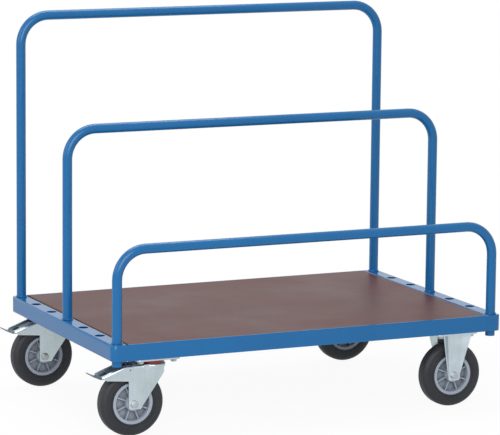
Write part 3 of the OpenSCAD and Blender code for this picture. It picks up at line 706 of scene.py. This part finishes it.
def fastener_tree():
    """One shape set on every point."""
    tree, sizes = new_shape("fasteners_on_points", {"Shape": (SHAPE, None), "Size": (FLOAT, 1.0)})
    shape = wire(tree, "GeometryNodeObjectInfo", (-700, -200), Object=sizes["Shape"],
                 As_Instance=True)["Geometry"]
    size = sizes["Size"]
    grown = wire(tree, "ShaderNodeCombineXYZ", (-700, -450), X=size, Y=size, Z=size)[0]
    placed = wire(tree, "GeometryNodeInstanceOnPoints", (-300, 0), Points=sizes["Geometry"],
                  Instance=shape, Scale=grown)[0]
    close_shape(tree, [placed], sizes["Material"], FINE_SEAM)
    return tree


def turned_tree():
    """Section turned about an axle that lies along Y."""
    tree, sizes = new_shape("turned_ring", {
        "Centre": (VECTOR, ORIGIN), "Base Radius": (FLOAT, 0.08), "Round Steps": (WHOLE, 128),
    })
    section = wire(tree, "GeometryNodeMeshToCurve", (-900, -100), Mesh=sizes["Geometry"])[0]
    way = level_circle(tree, sizes["Round Steps"], sizes["Base Radius"], (-900, 150))
    ring = sweep(tree, way, section, (-450, 0))
    stood = wire(tree, "GeometryNodeTransform", (-150, 0), Geometry=ring,
                 Translation=sizes["Centre"], Rotation=(math.radians(90), 0, 0))[0]
    close_shape(tree, [stood], sizes["Material"])
    return tree


def loose_mesh(name, points, edges=(), faces=()):
    mesh = bpy.data.meshes.new(name)
    mesh.from_pydata([tuple(point) for point in points], list(edges), list(faces))
    return mesh


def outward(mesh):
    """Turns every face outwards once the doubles are merged."""
    work = bmesh.new()
    work.from_mesh(mesh)
    bmesh.ops.remove_doubles(work, verts=work.verts, dist=SEAM / 10)
    bmesh.ops.recalc_face_normals(work, faces=work.faces)
    work.to_mesh(mesh)
    work.free()


def make_piece(name, tree, start, values, body, slot, replaced):
    """Runs a tree on its start mesh, keeps the result as a plain mesh and sets it on its body."""
    holder = bpy.data.objects.new(name + "_start", start)
    scene.collection.objects.link(holder)
    shaper = holder.modifiers.new("shape", "NODES")
    shaper.node_group = tree
    given = dict(values, Material=FINISHES[slot])
    for item in tree.interface.items_tree:
        if item.item_type == "SOCKET" and item.in_out == "INPUT" and item.name in given:
            shaper[item.identifier] = given[item.name]
    shaped = holder.evaluated_get(bpy.context.evaluated_depsgraph_get())
    mesh = bpy.data.meshes.new_from_object(shaped)
    bpy.data.objects.remove(holder)
    mesh.name = name
    outward(mesh)
    piece = bpy.data.objects.new(name, mesh)
    scene.collection.objects.link(piece)
    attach(piece, body)
    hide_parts(*replaced)


# Bows: legs, bend and stop collars

SHIFT_X = 0.024892491
LEG_HALF = 0.625
BOW_ROWS = (  # name, row, height over the deck, foot of the legs
    ("low", -0.4, 0.293, 0.217),
    ("middle", 0.0, 0.598, 0.2355),
    ("high", 0.4, 0.907, 0.2355),
)


def add_bows():
    tree = bow_tree()
    left, right = SHIFT_X - LEG_HALF, SHIFT_X + LEG_HALF
    for name, y, height, foot in BOW_ROWS:
        top = DECK_TOP + height - TUBE_R
        points = [(left, y, foot), (left, y, top), (right, y, top), (right, y, foot)]
        path = loose_mesh(name + "_bow_path", points, [(0, 1), (1, 2), (2, 3)])
        make_piece(name + "_bow_tube", tree, path, {}, name + "_bow_body", "blue_paint",
                   [name + "_bow"])


# Bolts, nuts and screws, as rings about an upright axis

TURN = 2 * math.pi
RING_STEPS = 48
CHAMFER_SLOPE = math.tan(math.radians(30))
CHAMFER_SHARE = 0.95
SOCKET_SHARE = 0.6
SCREW_DOME = ((0.62, 0.0), (0.82, 0.18), (0.95, 0.5), (1.0, 0.8))  # shares of radius and height


def ring_skin(rings, closed=False):
    """Skin through rings; a ring is (radius, height) or a call that gives both for a turn."""
    points, faces = [], []
    for ring in rings:
        for step in range(RING_STEPS):
            turn = TURN * step / RING_STEPS
            radius, height = ring(turn) if callable(ring) else ring
            points.append((radius * math.cos(turn), radius * math.sin(turn), height))
    count = len(rings)
    for row in range(count if closed else count - 1):
        low, high = row * RING_STEPS, (row + 1) % count * RING_STEPS
        for step in range(RING_STEPS):
            after = (step + 1) % RING_STEPS
            faces.append((low + step, low + after, high + after, high + step))
    if not closed:
        faces.append(tuple(range(RING_STEPS)))
        faces.append(tuple(range((count - 1) * RING_STEPS, count * RING_STEPS)))
    return points, faces


def hex_reach(flats, turn):
    return flats / 2 / math.cos(turn % (TURN / 6) - TURN / 12)


def hex_ring(flats, height):
    return lambda turn: (hex_reach(flats, turn), height)


def hex_edge(flats, height, slope):
    """Edge of a hexagon that a cone has eased, as a ring."""
    def ring(turn):
        reach = hex_reach(flats, turn)
        return reach, height - slope * (reach - CHAMFER_SHARE * flats / 2) * CHAMFER_SLOPE
    return ring


def nut_rings(flats, bore, low, high):
    eased = CHAMFER_SHARE * flats / 2
    return [(bore, low), (eased, low), hex_edge(flats, low, -1), hex_edge(flats, high, 1),
            (eased, high), (bore, high)]


def bolt_rings(flats, radius, tip, seat, top):
    """Shank from its tip up to the head's seat, then the head; every height counts upwards."""
    ease = radius / 5
    eased = CHAMFER_SHARE * flats / 2
    return [(radius - ease, tip), (radius, tip + ease), (radius, seat), (eased, seat),
            hex_ring(flats, seat + ease / 4), hex_edge(flats, top, 1), (eased, top)]


def screw_rings(head, radius, socket, low, seat, tip):
    """Dome head that looks down, with a hexagon socket, and its shank above."""
    rise = seat - low
    dome = [(share * head / 2, low + up * rise) for share, up in SCREW_DOME]
    return [hex_ring(socket, low + SOCKET_SHARE * rise), hex_ring(socket, low), *dome,
            (head / 2, seat), (radius, seat), (radius, tip - radius / 2), (radius / 3, tip)]


def shape_object(name, *skins, lie=False):
    """Object that a tree sets on points; lie turns its upright axis to lie along Y."""
    points, faces = [], []
    for more_points, more_faces in skins:
        start = len(points)
        points += [(x, -z, y) for x, y, z in more_points] if lie else more_points
        faces += [tuple(start + index for index in face) for face in more_faces]
    mesh = loose_mesh(name, points, (), faces)
    outward(mesh)
    made = bpy.data.objects.new(name, mesh)
    scene.collection.objects.link(made)
    return made


def grid(xs, ys):
    return [(x, y) for x in xs for y in ys]


WHEELS = ("front_left", "rear_left", "front_right", "rear_right")
CASTER_PLACES = grid((-0.5, 0.5), (-0.369, 0.369))
BOLT_OFFSETS = grid((-0.0525, 0.0525), (-0.04, 0.04))
BOLT_POINTS = [(SHIFT_X + cx + bx, cy + by, 0)
               for cx, cy in CASTER_PLACES for bx, by in BOLT_OFFSETS]
SCREW_PLACES = grid((-0.5, -0.17, 0.17, 0.5), (-0.306, 0.0, 0.306))
SCREW_POINTS = [(SHIFT_X + x, y, 0) for x, y in SCREW_PLACES]
BOLT_R = 0.005
BOLT_FLATS = 0.017
BOLT_HEAD = 0.0064
BORE_PLAY = 0.00005
SCREW_R = 0.0025
SCREW_HEAD = 0.010
SCREW_SOCKET = 0.003
SCREW_RISE = 0.003
AXLE_R = 0.006
AXLE_FLATS = 0.0204
AXLE_HEAD = 0.00768
AXLE_NUT = 0.0096
AXLE_TIP = 0.0018


def set_fasteners(name, tree, points, shape, body, node):
    start = loose_mesh(node + "_points", points)
    make_piece(name, tree, start, {"Shape": shape}, body, "steel", [node])
    bpy.data.objects.remove(shape)


def add_frame_fasteners(tree):
    nut_low, nut_high = (corner.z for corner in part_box("caster_nuts"))
    bolt_low, bolt_high = (corner.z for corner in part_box("caster_bolts"))
    screw_low, screw_high = (corner.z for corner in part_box("deck_screws"))
    nut = ring_skin(nut_rings(BOLT_FLATS, BOLT_R + BORE_PLAY, nut_low, nut_high), closed=True)
    bolt = ring_skin(bolt_rings(BOLT_FLATS, BOLT_R, bolt_low, bolt_high - BOLT_HEAD, bolt_high))
    screw = ring_skin(screw_rings(SCREW_HEAD, SCREW_R, SCREW_SOCKET, screw_low,
                                  screw_low + SCREW_RISE, screw_high))
    rows = (("caster_nut", BOLT_POINTS, nut), ("caster_bolt", BOLT_POINTS, bolt),
            ("deck_screw", SCREW_POINTS, screw))
    for name, points, skin in rows:
        shape = shape_object(name + "_shape", skin)
        set_fasteners(name + "_row", tree, points, shape, "frame", name + "s")


def add_axle_bolts(tree):
    """Bolt with its head in front and its nut behind; lying down, -Y is up."""
    for wheel in WHEELS:
        node = wheel + "_axle"
        low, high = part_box(node)
        middle = (low + high) / 2
        nut_far, nut_near = -high.y + AXLE_TIP, -high.y + AXLE_TIP + AXLE_NUT
        bolt = ring_skin(bolt_rings(AXLE_FLATS, AXLE_R, -high.y, -low.y - AXLE_HEAD, -low.y))
        nut = ring_skin(nut_rings(AXLE_FLATS, AXLE_R + BORE_PLAY, nut_far, nut_near), closed=True)
        shape = shape_object(node + "_shape", bolt, nut, lie=True)
        set_fasteners(node + "_bolt", tree, [(middle.x, 0, middle.z)], shape,
                      nodes[node]["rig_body"], node)


# Tyre section: radii from the axle and distances from the middle of the tread

TYRE_R = 0.1
TYRE_HALF = 0.025
TYRE_BASE = 0.08
SHOULDER_R = 0.016
SHOULDER_FROM = 48
SHOULDER_STEPS = 8
TREAD_GROOVES = (  # middle, width, depth
    (0.0050, 0.0020, 0.0012), (0.0125, 0.0009, 0.0006), (0.0165, 0.0009, 0.0006),
)
GROOVE_LIP = 0.12
SIDE_WALL = (  # fine groove, flat, step, rounded bead and rim
    (0.0805, 0.0250), (0.0801, 0.0246), (0.0795, 0.0244), (0.0789, 0.0246), (0.0785, 0.0250),
    (0.0728, 0.0250), (0.0722, 0.0248), (0.0719, 0.0241), (0.0717, 0.0236), (0.0712, 0.0235),
    (0.0688, 0.0235), (0.0684, 0.0242), (0.0678, 0.0247), (0.0672, 0.0247), (0.0666, 0.0242),
    (0.0662, 0.0235), (0.0636, 0.0235), (0.063, 0.0232),
)


def tread_skin(aside):
    """Radius of the tread at a distance from its middle."""
    over = max(0.0, aside - (TYRE_HALF - SHOULDER_R))
    return TYRE_R - SHOULDER_R + math.sqrt(max(0.0, SHOULDER_R ** 2 - over ** 2))


def groove(middle, width, depth):
    """Groove in the tread, with rounded lips and floor."""
    near, far = middle - width / 2, middle + width / 2
    lip = width * GROOVE_LIP
    near_r, far_r = tread_skin(near), tread_skin(far)
    return [(tread_skin(near - lip), near - lip), (near_r - lip, near),
            (near_r - depth + lip, near + lip / 2), (near_r - depth, near + 2 * lip),
            (far_r - depth, far - 2 * lip), (far_r - depth + lip, far - lip / 2),
            (far_r - lip, far), (tread_skin(far + lip), far + lip)]


def tyre_half():
    """One half of the section, from the middle of the tread to the rim."""
    half = [(TYRE_R, 0.0)]
    for row in TREAD_GROOVES:
        half += groove(*row)
    for step in range(1, SHOULDER_STEPS + 1):
        turn = math.radians(SHOULDER_FROM + (90 - SHOULDER_FROM) * step / SHOULDER_STEPS)
        half.append((TYRE_R - SHOULDER_R + SHOULDER_R * math.cos(turn),
                     TYRE_HALF - SHOULDER_R + SHOULDER_R * math.sin(turn)))
    return half + list(SIDE_WALL)


def add_tyres():
    tree = turned_tree()
    half = tyre_half()
    section = half + [(radius, -aside) for radius, aside in reversed(half[1:])]
    points = [(radius - TYRE_BASE, aside, 0) for radius, aside in section]
    count = len(points)
    loop = [(index, (index + 1) % count) for index in range(count)]
    for wheel in WHEELS:
        node = wheel + "_tyre"
        low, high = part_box(node)
        values = {"Centre": tuple((low + high) / 2), "Base Radius": TYRE_BASE}
        make_piece(node + "_ring", tree, loose_mesh(node + "_section", points, loop), values,
                   nodes[node]["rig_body"], "tyre", [node])


add_bows()
fasteners = fastener_tree()
add_frame_fasteners(fasteners)
add_axle_bolts(fasteners)
add_tyres()
